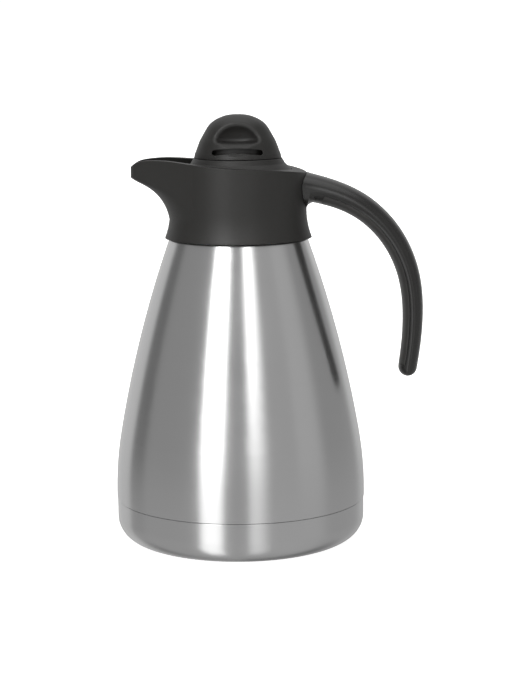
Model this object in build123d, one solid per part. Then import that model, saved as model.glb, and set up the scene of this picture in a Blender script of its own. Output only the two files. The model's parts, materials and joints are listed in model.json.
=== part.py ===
"""Vacuum jug, 1.0 litre: steel double-walled flask, plastic collar with open spout, hook handle
and a stopper whose twist grip opens a pouring valve.

Millimetres. +Z is up, the origin is on the floor at the centre of the base, the spout points
to -X and the handle to +X.
"""
import os
from math import acos, asin, atan2, cos, degrees, dist, exp, pi, radians, sin, sqrt

from build123d import *

# ---------------------------------------------------------------- flask: driving dimensions
BODY_RADIUS = 67.5  # widest place of the outer wall
WIDEST_HEIGHT = 26.0
BELLY_ARC_RADIUS = 192.0  # from the widest place upward
SIDE_ARC_RADIUS = 630.0  # from the belly to the shoulder
SHOULDER_RADIUS = 37.05
SHOULDER_HEIGHT = 163.7
SHOULDER_CORNER = 1.0
STEEL_WALL = 0.8
VACUUM_GAP = 6.0
NECK_BORE_RADIUS = 21.5
NECK_VACUUM_GAP = 2.5
NECK_CORNER = 3.0
NECK_LENGTH = 22.3  # from the shoulder to the top edge
NECK_BEAD = 0.8  # rolled bead that the collar snaps over
NECK_BEAD_DROP = 8.0  # below the top edge of the neck

# base cup and vacuum bottom
SEAM_HEIGHT = 22.9
SEAM_GAP = 0.35
BASE_STEP = 0.3  # the base cup is this much smaller in radius than the wall above it
BASE_CORNER = 12.5
BASE_RISE = 0.3  # of the underside from the ring groove to the side
BASE_GROOVE_RADIUS = 40.0  # pressed ring groove that stiffens the flat underside
BASE_GROOVE_WIDTH = 6.0
BASE_GROOVE_DEPTH = 1.5
WELD_CLEARANCE = 0.1
VACUUM_BOTTOM_LEVEL = 15.0
VACUUM_BOTTOM_SKIRT = 19.0
PUMPING_HOLE_RADIUS = 2.0
PUMPING_DIMPLE_RADIUS = 9.0
PUMPING_DIMPLE_DEPTH = 3.0
GETTER_RADIUS = 6.0
GETTER_HEIGHT = 3.2
GETTER_OFFSET = 30.0
GETTER_FILL = 0.6  # share of the cup that the pellet fills
LINER_SEAM_HEIGHT = 38.0
LINER_NECK_SEAM_HEIGHT = 119.0
LINER_CORNER = 16.0

# ---------------------------------------------------------------- collar: driving dimensions
COLLAR_RADIUS = 36.6  # at the waist
COLLAR_FOOT_RADIUS = 39.35
COLLAR_FOOT_FLARE = 14.5  # height over which the foot flares out
PLASTIC_WALL = 2.4
SHOULDER_SEAL_THICKNESS = 0.4
SHOULDER_SEAL_WIDTH = 2.0
COLLAR_FOOT_THICKNESS = 2.0
NECK_GASKET_THICKNESS = 1.2
LIP_THICKNESS = 0.8
BOWL_RADIUS = 29.0
SLEEVE_LENGTH = 15.0
SLEEVE_CLEARANCE = 0.4
SLEEVE_WALL = 2.0
INSERT_WALL = 2.0
INSERT_DEPTH = 18.4
INSERT_FLANGE_WIDTH = 5.0
INSERT_FLANGE_THICKNESS = 1.6
INSERT_CLEARANCE = 0.1
KEY_COUNT = 3
KEY_WIDTH = 4.0
KEY_DEPTH = 0.9
KEY_LENGTH = 9.0

# spout; heights are above the top edge of the neck, drops and depths are below it
SPOUT_TIP_RADIUS = 8.0
SPOUT_SINK = 0.1  # the spout runs into the round waist this far under its face
SPOUT_START_DROP = 15.5
SPOUT_FLARE_RADIUS = 24.3
SPOUT_FLARE_ANGLE = 60.0
SPOUT_SECTIONS = (0.1, 0.3, 0.5, 0.7, 0.85, 1.0)  # shares of the height that the flare rises
SPOUT_LIP_RISE = 10.4
SPOUT_LIP_WALL = 2.2
# the rim of the collar seen from the side, from the tip of the spout to the handle
RIM_CURVE = [
    (-60.0, 13.4),
    (-56.6, 16.4),
    (-53.5, 18.5),
    (-47.1, 19.8),
    (-40.7, 20.0),
    (-23.2, 18.5),
    (8.0, 16.1),
    (28.0, 14.5),
    (37.0, 12.6),
]

# ---------------------------------------------------------------- handle: driving dimensions
# centre line of the handle in the plane Y = 0: distance outside the collar's waist and height
# above the top edge of the neck
HANDLE_LINE = [
    (-8.6, 6.3),
    (7.4, 3.05),
    (26.4, -4.3),
    (44.35, -20.5),
    (55.0, -43.9),
    (57.05, -64.5),
    (56.3, -79.0),
    (53.6, -98.0),
]
# the handle's section is an oval that tapers to the tip and flares at the root
HANDLE_TIP_THICKNESS = 10.0
HANDLE_THICKNESS_TAPER = 5.0
HANDLE_THICKNESS_FLARE = 2.0
HANDLE_TIP_WIDTH = 17.0
HANDLE_WIDTH_TAPER = 9.0
HANDLE_WIDTH_FLARE = 6.0
HANDLE_FLARE_SHARE = 0.06  # of the handle's length
HANDLE_TAPER_POWER = 1.1
HANDLE_SECTIONS = 13
HANDLE_CROWDING = 1.3  # above 1 the sections crowd towards the root
TIP_ANGLES = (0, 20, 38, 54, 68, 79, 86)
HANDLE_TIP_ROUNDING = 5.0
ROOT_ROUNDING = 4.5  # hollow corner under the handle, against the collar
ROOT_ANGLES = (80, 65, 50, 35, 20, 0)
ROOT_SINK = 0.2  # the hollow corner's sections stay this far inside the handle's
HANDLE_SEAT_GAP = 0.15
INLAY_OFFSET = 2.0  # the inlay's seam runs this far inside the centre line
INLAY_INSET = 0.8
INLAY_GAP = 0.15
INLAY_START_SHARE = 0.13  # of the handle's length
INLAY_END_SHARE = 0.955
INLAY_STATIONS = 9
INLAY_RIB_INSET = 5.2  # the rib on the back of the inlay is this much narrower at each side
INLAY_RIB_HEIGHT = 1.5
TENON_WIDTH = 15.0
TENON_HEIGHT = 7.0
TENON_RISE = 4.4
TENON_CLEARANCE = 0.15
SCREW_SHANK_RADIUS = 1.4
SCREW_HEAD_RADIUS = 2.6
SCREW_HEAD_HEIGHT = 1.8
SCREW_LENGTH = 8.0
SCREW_SPREAD = 4.5
SCREW_DROP = 0.8
SCREW_CLEARANCE = 0.05

# ---------------------------------------------------------------- stopper: driving dimensions
# rises are above the top edge of the neck, depths are below it
PLUG_RADIUS = 18.6
PLUG_WALL = 2.0
PLUG_DEPTH = 16.0
PLUG_FLOOR = 2.0
PLUG_SEAT_RADIUS = 22.5
PLUG_SEAT_THICKNESS = 1.2
PORT_WIDTH = 17.0
PORT_SILL = 0.4
VALVE_OPENING_RADIUS = 11.2
GUIDE_DEPTH = 1.0
GUIDE_THICKNESS = 2.6
GASKET_HEIGHT = 4.0
GASKET_BASE_RADIUS = 17.6
GASKET_DEPTH = 12.5
BODY_GAP = 0.3  # between faces of different moving bodies
FLANGE_RADIUS = 28.5
FLANGE_RISE = 13.2
FLANGE_EDGE = 1.2
COVER_PLATE = 2.0
COVER_RISE = 20.3
COVER_TOP_RADIUS = 23.6
COVER_BEAD = 4.5
HUB_RADIUS = 15.5
HUB_RISE = 23.8
HUB_WALL = 1.8
HUB_CAP_THICKNESS = 1.6
BEARING_WALL = 2.4
BEARING_RISE = 9.0

# ---------------------------------------------------------------- grip and valve
KNOB_RISE = 43.5
KNOB_GAP = 0.3
# half of the dome's outline: radius and height above the top edge of the neck
KNOB_CURVE = [
    (5.9, 43.0),
    (10.4, 41.4),
    (14.9, 38.2),
    (18.0, 33.5),
    (20.5, 28.8),
    (22.3, 24.0),
    (23.3, 20.6),
]
KNOB_FOOT_LEAN = 0.2  # outward run per unit of drop at the foot of the outline
SCOOP_CENTRE = (17.5, 29.5)  # distance from the axis and rise
SCOOP_HALF_WIDTH = 12.0
SCOOP_DEPTH = 7.5
SCOOP_HALF_HEIGHT = 10.0
SCOOP_ROUNDING = 2.0
LEDGE_RADIUS = 7.0  # of the rounded ledge under the scoop
LEDGE_DISTANCE = 15.0  # of its centre from the axis
LEDGE_RISE = 29.4  # of its top
GROOVE_HALF_WIDTH = 12.0  # of its middle line, whose ends are half round
GROOVE_ENDS_RISE = 24.1
GROOVE_CROWN_RISE = 25.1
GROOVE_HEIGHT = 2.8
GROOVE_FLOOR = 18.5  # distance from the axis to the bottom of the groove
CORE_POCKET_RADIUS = 3.2
CORE_POCKET_PLACE = 11.0
CORE_POCKET_DEPTH = 8.0
SPINDLE_RADIUS = 4.4
SPINDLE_SQUARE = 6.0
SPINDLE_SQUARE_RISE = 34.0
SPINDLE_CLEARANCE = 0.1
SPINDLE_DEPTH = 10.0
ORING_SECTION_RADIUS = 0.9
ORING_RISE = 15.5
CLIP_THICKNESS = 0.8
CLIP_RADIUS = 6.4
CLIP_MOUTH = 0.8  # share of the clip's bore
WASHER_THICKNESS = 0.8
WASHER_RADIUS = 9.0
GRIP_SCREW_RADIUS = 1.5
GRIP_SCREW_HEAD_RADIUS = 2.6
GRIP_SCREW_HEAD_HEIGHT = 1.8
GRIP_SCREW_RISE = 40.0

THREAD_PITCH = 6.0
THREAD_RIDGE = 2.4
THREAD_GAP = 0.4
THREAD_CORE_RADIUS = 4.0
THREAD_RIDGE_RADIUS = 5.6
THREAD_TURNS = 1.25
THREAD_DEPTH = 8.0

DISC_RADIUS = 14.0
DISC_THICKNESS = 2.2
SEAL_THICKNESS = 1.8
SEAL_INNER_RADIUS = 10.0
STEM_WALL = 2.0
STEM_RISE = 4.0
FIN_LENGTH = 13.0
FIN_WIDTH = 2.4
FIN_REACH = 2.6
FIN_CLEARANCE = 0.3
GUIDE_HOLES = 8

OVERCUT = 1.0  # how far any cutter passes the face that it opens

# ---------------------------------------------------------------- sizes worked out from those
NECK_HEIGHT = SHOULDER_HEIGHT + NECK_LENGTH
NECK_BEAD_HEIGHT = NECK_HEIGHT - NECK_BEAD_DROP
SPOUT_START = NECK_HEIGHT - SPOUT_START_DROP
SPOUT_LIP_HEIGHT = NECK_HEIGHT + SPOUT_LIP_RISE
TENON_LEVEL = NECK_HEIGHT + TENON_RISE
SCREW_LEVEL = NECK_HEIGHT - SCREW_DROP
PLUG_BOTTOM = NECK_HEIGHT - PLUG_DEPTH
GUIDE_LEVEL = NECK_HEIGHT - GUIDE_DEPTH
GASKET_LEVEL = NECK_HEIGHT - GASKET_DEPTH
FLANGE_LEVEL = NECK_HEIGHT + FLANGE_RISE
COVER_TOP = NECK_HEIGHT + COVER_RISE
HUB_TOP = NECK_HEIGHT + HUB_RISE
BEARING_BOTTOM = NECK_HEIGHT + BEARING_RISE
KNOB_TOP = NECK_HEIGHT + KNOB_RISE
SPINDLE_SQUARE_TOP = NECK_HEIGHT + SPINDLE_SQUARE_RISE
SPINDLE_FOOT = NECK_HEIGHT - SPINDLE_DEPTH
ORING_LEVEL = NECK_HEIGHT + ORING_RISE
GRIP_SCREW_TOP = NECK_HEIGHT + GRIP_SCREW_RISE
THREAD_START = NECK_HEIGHT - THREAD_DEPTH
STEM_TOP = NECK_HEIGHT + STEM_RISE
SKY = KNOB_TOP + KNOB_RISE  # above everything, where cutters end

SHELL_NECK_INNER = NECK_BORE_RADIUS + STEEL_WALL + NECK_VACUUM_GAP
SHELL_NECK_OUTER = SHELL_NECK_INNER + STEEL_WALL
LINER_INSET = STEEL_WALL + VACUUM_GAP
LINER_FLOOR = VACUUM_BOTTOM_LEVEL + STEEL_WALL + VACUUM_GAP
LIP_TOP = NECK_HEIGHT + LIP_THICKNESS
DECK_BOTTOM = LIP_TOP + NECK_GASKET_THICKNESS
DECK_TOP = DECK_BOTTOM + PLASTIC_WALL
COLLAR_FOOT = SHOULDER_HEIGHT + SHOULDER_SEAL_THICKNESS
COLLAR_INNER = COLLAR_RADIUS - PLASTIC_WALL
SLEEVE_INNER = SHELL_NECK_OUTER + SLEEVE_CLEARANCE
INSERT_OUTER = NECK_BORE_RADIUS - INSERT_CLEARANCE
INSERT_INNER = INSERT_OUTER - INSERT_WALL
INSERT_TOP = DECK_TOP + INSERT_FLANGE_THICKNESS
BELLY_CENTRE = (BODY_RADIUS - BELLY_ARC_RADIUS, WIDEST_HEIGHT)
# the side arc leaves the belly arc smoothly and ends at the shoulder
ARC_DIFFERENCE = SIDE_ARC_RADIUS - BELLY_ARC_RADIUS
SHOULDER_DISTANCE = dist(BELLY_CENTRE, (SHOULDER_RADIUS, SHOULDER_HEIGHT))
SHOULDER_BEARING = atan2(SHOULDER_HEIGHT - BELLY_CENTRE[1], SHOULDER_RADIUS - BELLY_CENTRE[0])
CENTRES_ANGLE = acos(
    (ARC_DIFFERENCE**2 + SHOULDER_DISTANCE**2 - SIDE_ARC_RADIUS**2)
    / (2 * ARC_DIFFERENCE * SHOULDER_DISTANCE)
)
BELLY_ARC_ANGLE = SHOULDER_BEARING + CENTRES_ANGLE - pi
SIDE_CENTRE = (
    BELLY_CENTRE[0] - ARC_DIFFERENCE * cos(BELLY_ARC_ANGLE),
    BELLY_CENTRE[1] - ARC_DIFFERENCE * sin(BELLY_ARC_ANGLE),
)


# ---------------------------------------------------------------- helpers
def rounded(face, corners):
    """The face with the corners nearest to (x, y) rounded, from (x, y, radius)."""
    for x, y, radius in corners:
        face = fillet(face.vertices().sort_by_distance((x, y))[0], radius)
    return face


def turned(*corners):
    """Solid of revolution about Z. A corner is (radius, height) or (radius, height, rounding)."""
    face = make_face(Polyline(*[corner[:2] for corner in corners], close=True))
    face = rounded(face, [corner for corner in corners if len(corner) == 3])
    return revolve(Plane.XZ * face, Axis.Z)


def ring(inner, outer, bottom, top):
    """Flat ring or tube about Z."""
    return turned((inner, bottom), (outer, bottom), (outer, top), (inner, top))


STANDING = (Align.CENTER, Align.CENTER, Align.MIN)


def disc(radius, bottom, top):
    """Solid cylinder about Z."""
    return Pos(0, 0, bottom) * Cylinder(radius, top - bottom, align=STANDING)


def block(x_range, y_range, z_range):
    """Box between two values on each axis."""
    size = [high - low for low, high in (x_range, y_range, z_range)]
    middle = [(high + low) / 2 for low, high in (x_range, y_range, z_range)]
    return Pos(*middle) * Box(*size)


def rod_x(radius, x_low, x_high, y, z):
    """Cylinder along X."""
    return Pos(x_low, y, z) * Rot(0, 90, 0) * disc(radius, 0, x_high - x_low)


# ---------------------------------------------------------------- flask
def side_angle(inset, height):
    """Angle on the side arc, moved inward by inset, at which it reaches a height."""
    return asin((height - SIDE_CENTRE[1]) / (SIDE_ARC_RADIUS - inset))


def side_radius(inset, height):
    """Radius of the side wall, moved inward by inset, at a height above the belly."""
    return SIDE_CENTRE[0] + (SIDE_ARC_RADIUS - inset) * cos(side_angle(inset, height))


def flask_form(inset, neck_radius, floor, top, floor_rounding=0.0, shoulder_rounding=SHOULDER_CORNER):
    """Solid inside the flask's side curve moved inward by inset, with a neck of neck_radius."""
    widest = BODY_RADIUS - inset
    shoulder = SHOULDER_HEIGHT - inset
    belly_angle = degrees(BELLY_ARC_ANGLE)
    end_angle = degrees(side_angle(inset, shoulder))
    belly = CenterArc(BELLY_CENTRE, BELLY_ARC_RADIUS - inset, 0, belly_angle)
    side = CenterArc(SIDE_CENTRE, SIDE_ARC_RADIUS - inset, belly_angle, end_angle - belly_angle)
    shoulder_end = side @ 1
    foot = Polyline((0, top), (0, floor), (widest, floor), (widest, WIDEST_HEIGHT))
    neck = Polyline(shoulder_end, (neck_radius, shoulder), (neck_radius, top), (0, top))
    face = make_face([*foot.edges(), belly, side, *neck.edges()])
    corners = [
        (shoulder_end.X, shoulder, shoulder_rounding),
        (neck_radius, shoulder, NECK_CORNER + STEEL_WALL),
    ]
    form = revolve(Plane.XZ * rounded(face, corners), Axis.Z)
    if floor_rounding:
        form &= turned((0, floor), (widest, floor, floor_rounding), (widest, top), (0, top))
    return form


def make_outer_shell():
    """Visible steel wall from the seam to the neck, with the rolled bead on the neck."""
    outside = flask_form(0, SHELL_NECK_OUTER, SEAM_HEIGHT + SEAM_GAP, NECK_HEIGHT)
    inside = flask_form(
        STEEL_WALL,
        SHELL_NECK_INNER,
        SEAM_HEIGHT - OVERCUT,
        NECK_HEIGHT + OVERCUT,
        shoulder_rounding=SHOULDER_CORNER - STEEL_WALL / 2,
    )
    bead = Pos(0, 0, NECK_BEAD_HEIGHT) * Torus(SHELL_NECK_OUTER, NECK_BEAD)
    below, above = NECK_BEAD_HEIGHT - 2 * NECK_BEAD, NECK_BEAD_HEIGHT + 2 * NECK_BEAD
    bead -= disc(SHELL_NECK_OUTER - STEEL_WALL / 4, below, above)
    return outside - inside + bead


def liner_body():
    """Inner wall of the flask in one piece: neck, side and floor."""
    outside = flask_form(
        LINER_INSET,
        NECK_BORE_RADIUS + STEEL_WALL,
        LINER_FLOOR,
        LIP_TOP,
        LINER_CORNER,
        NECK_CORNER,
    )
    inside = flask_form(
        LINER_INSET + STEEL_WALL,
        NECK_BORE_RADIUS,
        LINER_FLOOR + STEEL_WALL,
        LIP_TOP + OVERCUT,
        LINER_CORNER - STEEL_WALL,
        NECK_CORNER,
    )
    return outside - inside


def make_inner_liner():
    """Side of the liner between its two welds."""
    side = liner_body() - disc(BODY_RADIUS, 0, LINER_SEAM_HEIGHT)
    return side - disc(BODY_RADIUS, LINER_NECK_SEAM_HEIGHT, SKY)


def make_liner_neck():
    """Shoulder and neck of the liner, with the lip that closes the vacuum at the mouth."""
    upper = liner_body() - disc(BODY_RADIUS, 0, LINER_NECK_SEAM_HEIGHT)
    lip = ring(NECK_BORE_RADIUS, SHELL_NECK_OUTER, NECK_HEIGHT, LIP_TOP)
    return upper + lip


def make_liner_bottom():
    """Pressed floor of the liner, welded to it."""
    return liner_body() - disc(BODY_RADIUS, LINER_SEAM_HEIGHT, SKY)


def make_base_cup():
    """Steel cup that forms the foot, flat underneath, with a pressed ring groove."""
    outer = BODY_RADIUS - BASE_STEP
    inner = outer - STEEL_WALL
    depth = BASE_GROOVE_DEPTH
    groove_end = BASE_GROOVE_RADIUS + BASE_GROOVE_WIDTH
    return turned(
        (0, 0),
        (BASE_GROOVE_RADIUS, 0),
        (BASE_GROOVE_RADIUS + depth, depth),
        (groove_end - depth, depth),
        (groove_end, 0),
        (outer, BASE_RISE, BASE_CORNER),
        (outer, SEAM_HEIGHT),
        (inner, SEAM_HEIGHT),
        (inner, BASE_RISE + STEEL_WALL, BASE_CORNER - STEEL_WALL),
        (groove_end, STEEL_WALL),
        (groove_end - depth, depth + STEEL_WALL),
        (BASE_GROOVE_RADIUS + depth, depth + STEEL_WALL),
        (BASE_GROOVE_RADIUS, STEEL_WALL),
        (0, STEEL_WALL),
    )


def make_vacuum_bottom():
    """Dish that closes the vacuum from below, with a dimple and pumping hole in its middle."""
    outer = BODY_RADIUS - BASE_STEP - STEEL_WALL - WELD_CLEARANCE
    inner = outer - STEEL_WALL
    level = VACUUM_BOTTOM_LEVEL
    dimple = level - PUMPING_DIMPLE_DEPTH
    top = level + VACUUM_BOTTOM_SKIRT
    dimple_top = PUMPING_DIMPLE_RADIUS + PUMPING_DIMPLE_DEPTH
    corner = VACUUM_BOTTOM_SKIRT / 2
    return turned(
        (PUMPING_HOLE_RADIUS, dimple),
        (PUMPING_DIMPLE_RADIUS, dimple),
        (dimple_top, level),
        (outer, level, corner),
        (outer, top),
        (inner, top),
        (inner, level + STEEL_WALL, corner - STEEL_WALL),
        (dimple_top, level + STEEL_WALL),
        (PUMPING_DIMPLE_RADIUS, dimple + STEEL_WALL),
        (PUMPING_HOLE_RADIUS, dimple + STEEL_WALL),
    )


def make_seal_bead():
    """Glass bead melted over the pumping hole."""
    dimple = VACUUM_BOTTOM_LEVEL - PUMPING_DIMPLE_DEPTH
    plug = PUMPING_HOLE_RADIUS - WELD_CLEARANCE
    return turned(
        (0, dimple - plug),
        (PUMPING_HOLE_RADIUS * 2, dimple - plug, PUMPING_HOLE_RADIUS / 2),
        (PUMPING_HOLE_RADIUS * 2, dimple),
        (plug, dimple),
        (plug, dimple + STEEL_WALL),
        (0, dimple + STEEL_WALL),
    )


def make_getter_cup():
    """Small open cup spot-welded on the vacuum bottom."""
    floor = VACUUM_BOTTOM_LEVEL + STEEL_WALL
    wall = STEEL_WALL / 2
    cup = turned(
        (0, floor),
        (GETTER_RADIUS, floor),
        (GETTER_RADIUS, floor + GETTER_HEIGHT),
        (GETTER_RADIUS - wall, floor + GETTER_HEIGHT),
        (GETTER_RADIUS - wall, floor + wall),
        (0, floor + wall),
    )
    return Pos(GETTER_OFFSET, 0, 0) * cup


def make_getter_pellet():
    """Gas-binding pellet in its cup."""
    wall = STEEL_WALL / 2
    floor = VACUUM_BOTTOM_LEVEL + STEEL_WALL + wall
    pellet = disc(GETTER_RADIUS - wall - WELD_CLEARANCE, floor, floor + GETTER_HEIGHT * GETTER_FILL)
    return Pos(GETTER_OFFSET, 0, 0) * pellet


# ---------------------------------------------------------------- collar and spout
def underside_reach(height):
    """Distance from the axis to the underside of the spout at a height."""
    rise = height - SPOUT_START
    angle = radians(SPOUT_FLARE_ANGLE)
    arc_rise = SPOUT_FLARE_RADIUS * sin(angle)
    if rise <= arc_rise:
        return COLLAR_RADIUS + SPOUT_FLARE_RADIUS - sqrt(SPOUT_FLARE_RADIUS**2 - rise**2)
    straight = (rise - arc_rise) * sin(angle) / cos(angle)
    return COLLAR_RADIUS + SPOUT_FLARE_RADIUS * (1 - cos(angle)) + straight


SPOUT_REACH = underside_reach(SPOUT_LIP_HEIGHT)
SPOUT_ARC_TOP = SPOUT_START + SPOUT_FLARE_RADIUS * sin(radians(SPOUT_FLARE_ANGLE))
SPOUT_FLOOR_LIFT = PLASTIC_WALL / sin(radians(SPOUT_FLARE_ANGLE))
BOWL_REACH = SPOUT_REACH - SPOUT_LIP_WALL


def spout_outline(radius, reach, full_reach, tip_radius, level):
    """Level outline: a circle about the axis drawn out to a rounded nose at -X."""
    share = (reach - radius) / (full_reach - radius)
    nose = radius - (radius - tip_radius) * share
    centre = reach - nose
    normal = acos((radius - nose) / centre)
    body_x = -radius * cos(normal)
    body_y = radius * sin(normal)
    nose_x = -centre - nose * cos(normal)
    nose_y = nose * sin(normal)
    outline = [
        ThreePointArc((body_x, body_y), (radius, 0), (body_x, -body_y)),
        Line((body_x, -body_y), (nose_x, -nose_y)),
        ThreePointArc((nose_x, -nose_y), (-reach, 0), (nose_x, nose_y)),
        Line((nose_x, nose_y), (body_x, body_y)),
    ]
    return Pos(0, 0, level) * make_face(outline)


def collar_outside():
    """Outside of the collar: flared foot, round waist and spout, as one solid block."""
    waist = (COLLAR_RADIUS, COLLAR_FOOT + COLLAR_FOOT_FLARE)
    foot = (COLLAR_FOOT_RADIUS, COLLAR_FOOT)
    foot_edge = TangentArc(waist, foot, tangent=(0, -1))
    rest = Polyline(foot, (0, COLLAR_FOOT), (0, SKY), (COLLAR_RADIUS, SKY), waist)
    barrel = revolve(Plane.XZ * make_face([foot_edge, *rest.edges()]), Axis.Z)
    arc_rise = SPOUT_ARC_TOP - SPOUT_START
    levels = [SPOUT_START + arc_rise * share for share in SPOUT_SECTIONS]
    levels.append(SPOUT_LIP_HEIGHT)
    radius, tip = COLLAR_RADIUS - SPOUT_SINK, SPOUT_TIP_RADIUS
    outlines = [
        spout_outline(radius, underside_reach(level), SPOUT_REACH, tip, level) for level in levels
    ]
    spout = loft(outlines)
    upper = extrude(outlines[-1], SKY - SPOUT_LIP_HEIGHT)
    return barrel + spout + upper


def above_rim(lower_by=0.0):
    """Everything above the collar's rim."""
    side = 2 * BODY_RADIUS
    points = [(x, NECK_HEIGHT + rise) for x, rise in RIM_CURVE]
    curve = Spline(*points)
    start, end = points[0], points[-1]
    top = SKY + lower_by
    frame = Polyline(end, (side, end[1]), (side, top), (-side, top), (-side, start[1]), start)
    face = make_face([curve, *frame.edges()])
    return Pos(0, 0, -lower_by) * extrude(Plane.XZ * face, side, both=True)


def bowl_space():
    """Open bowl around the stopper and the trough of the spout."""
    full = BOWL_REACH
    tip = SPOUT_TIP_RADIUS - SPOUT_LIP_WALL
    arc_level = SPOUT_ARC_TOP + SPOUT_FLOOR_LIFT
    angle = radians(SPOUT_FLARE_ANGLE)
    tip_level = arc_level + (full - underside_reach(SPOUT_ARC_TOP)) * cos(angle) / sin(angle)
    levels = [DECK_TOP, (DECK_TOP + arc_level) / 2, arc_level]
    outlines = [
        spout_outline(BOWL_RADIUS, underside_reach(level - SPOUT_FLOOR_LIFT), full, tip, level)
        for level in levels
    ]
    mouth = spout_outline(BOWL_RADIUS, full, full, tip, tip_level)
    lower = loft(outlines)
    slope = loft([outlines[-1], mouth], ruled=True)
    return lower + slope + extrude(mouth, SKY - tip_level)


def collar_hollow():
    """Space inside the collar, under the deck and between the bowl and the outer wall."""
    foot_inner = side_radius(0, SHOULDER_HEIGHT) - SHOULDER_CORNER - SHOULDER_SEAL_WIDTH
    hollow = disc(foot_inner, COLLAR_FOOT - OVERCUT, COLLAR_FOOT + COLLAR_FOOT_THICKNESS)
    hollow += disc(COLLAR_INNER, COLLAR_FOOT + COLLAR_FOOT_THICKNESS, SKY)
    bowl_wall = spout_outline(
        BOWL_RADIUS + PLASTIC_WALL, SPOUT_REACH, SPOUT_REACH, SPOUT_TIP_RADIUS, DECK_BOTTOM
    )
    hollow -= extrude(bowl_wall, SKY - DECK_BOTTOM)
    return hollow - above_rim(PLASTIC_WALL)


def handle_tenon(clearance=0.0):
    """Tongue of the handle that sits in a window of the collar's wall."""
    half_width = TENON_WIDTH / 2 + clearance
    half_height = TENON_HEIGHT / 2 + clearance
    return block(
        (COLLAR_INNER - PLASTIC_WALL / 2, COLLAR_RADIUS + PLASTIC_WALL),
        (-half_width, half_width),
        (TENON_LEVEL - half_height, TENON_LEVEL + half_height),
    )


def handle_screws(clearance=0.0):
    """The two screws that hold the handle, or with a clearance their holes."""
    seat = COLLAR_INNER - SCREW_HEAD_HEIGHT / 2
    head_bottom = seat - SCREW_HEAD_HEIGHT
    screws = []
    for y in (-SCREW_SPREAD, SCREW_SPREAD):
        head = rod_x(SCREW_HEAD_RADIUS + clearance, head_bottom, seat, y, SCREW_LEVEL)
        tip = seat + SCREW_LENGTH + clearance
        shank = rod_x(SCREW_SHANK_RADIUS + clearance, seat, tip, y, SCREW_LEVEL)
        screws.append(head + shank)
    return Part() + screws


def make_collar():
    """Plastic collar with its spout, bowl, deck and the sleeve that grips the neck."""
    collar = collar_outside() - bowl_space() - collar_hollow() - above_rim()
    sleeve = ring(SLEEVE_INNER, SLEEVE_INNER + SLEEVE_WALL, DECK_BOTTOM - SLEEVE_LENGTH, DECK_BOTTOM)
    sleeve -= Pos(0, 0, NECK_BEAD_HEIGHT) * Torus(SHELL_NECK_OUTER, NECK_BEAD + SLEEVE_CLEARANCE)
    access_end = COLLAR_INNER - SCREW_HEAD_HEIGHT
    for y in (-SCREW_SPREAD, SCREW_SPREAD):
        sleeve -= rod_x(SCREW_HEAD_RADIUS + SLEEVE_CLEARANCE, 0, access_end, y, SCREW_LEVEL)
    collar += sleeve
    collar -= disc(INSERT_OUTER + INSERT_CLEARANCE, DECK_BOTTOM - OVERCUT, DECK_TOP + OVERCUT)
    collar -= handle_tenon(TENON_CLEARANCE)
    return collar - handle_screws(SCREW_CLEARANCE)


def make_shoulder_seal():
    """Silicone ring between the steel shoulder and the collar's foot."""
    outer = side_radius(0, SHOULDER_HEIGHT) - SHOULDER_CORNER
    return ring(outer - SHOULDER_SEAL_WIDTH, outer, SHOULDER_HEIGHT, COLLAR_FOOT)


def make_neck_gasket():
    """Silicone ring between the steel lip and the collar's deck."""
    return ring(INSERT_OUTER + INSERT_CLEARANCE, SHELL_NECK_OUTER, LIP_TOP, DECK_BOTTOM)


def around(count):
    """Angles of equal places around the axis, the first half a step from +X."""
    return [360 / count * (index + 1 / 2) for index in range(count)]


def make_neck_insert():
    """Plastic lining of the neck, whose slots take the keys of the stopper."""
    insert = turned(
        (INSERT_INNER, DECK_TOP - INSERT_DEPTH),
        (INSERT_OUTER, DECK_TOP - INSERT_DEPTH),
        (INSERT_OUTER, DECK_TOP),
        (INSERT_OUTER + INSERT_FLANGE_WIDTH, DECK_TOP),
        (INSERT_OUTER + INSERT_FLANGE_WIDTH, INSERT_TOP, INSERT_FLANGE_THICKNESS / 2),
        (INSERT_INNER, INSERT_TOP),
    )
    for angle in around(KEY_COUNT):
        slot = block(
            (INSERT_INNER - OVERCUT, INSERT_INNER + KEY_DEPTH),
            (-KEY_WIDTH / 2, KEY_WIDTH / 2),
            (INSERT_TOP - KEY_LENGTH, INSERT_TOP + OVERCUT),
        )
        insert -= Rot(0, 0, angle) * slot
    return insert


# ---------------------------------------------------------------- handle
def handle_line():
    """Centre line of the handle."""
    return Spline(*[(COLLAR_RADIUS + run, 0, NECK_HEIGHT + rise) for run, rise in HANDLE_LINE])


def handle_place(share):
    """Plane across the handle at a share of its centre line, with X along the width."""
    line = handle_line()
    return Plane(origin=line @ share, x_dir=(0, 1, 0), z_dir=line % share)


def half_width(share):
    """Half of the handle's width at a share of its centre line."""
    taper = HANDLE_WIDTH_TAPER * (1 - share) ** HANDLE_TAPER_POWER
    return (HANDLE_TIP_WIDTH + taper + HANDLE_WIDTH_FLARE * exp(-share / HANDLE_FLARE_SHARE)) / 2


def half_thickness(share):
    """Half of the handle's thickness at a share of its centre line."""
    taper = HANDLE_THICKNESS_TAPER * (1 - share) ** HANDLE_TAPER_POWER
    flare = HANDLE_THICKNESS_FLARE * exp(-share / HANDLE_FLARE_SHARE)
    return (HANDLE_TIP_THICKNESS + taper + flare) / 2


def handle_oval(share, inset=0.0, shrink=1.0):
    """Section of the handle at a share of its centre line, narrowed at each side by inset."""
    oval = Ellipse(shrink * (half_width(share) - inset), shrink * half_thickness(share))
    return handle_place(share) * oval


def root_oval(way, drop):
    """Section under the handle's root, some way along its centre line, drawn down by drop."""
    share = way / handle_line().length
    oval = Ellipse(half_width(share) - ROOT_SINK, half_thickness(share) - ROOT_SINK + drop / 2)
    return handle_place(share) * Pos(0, -drop / 2) * oval


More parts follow.
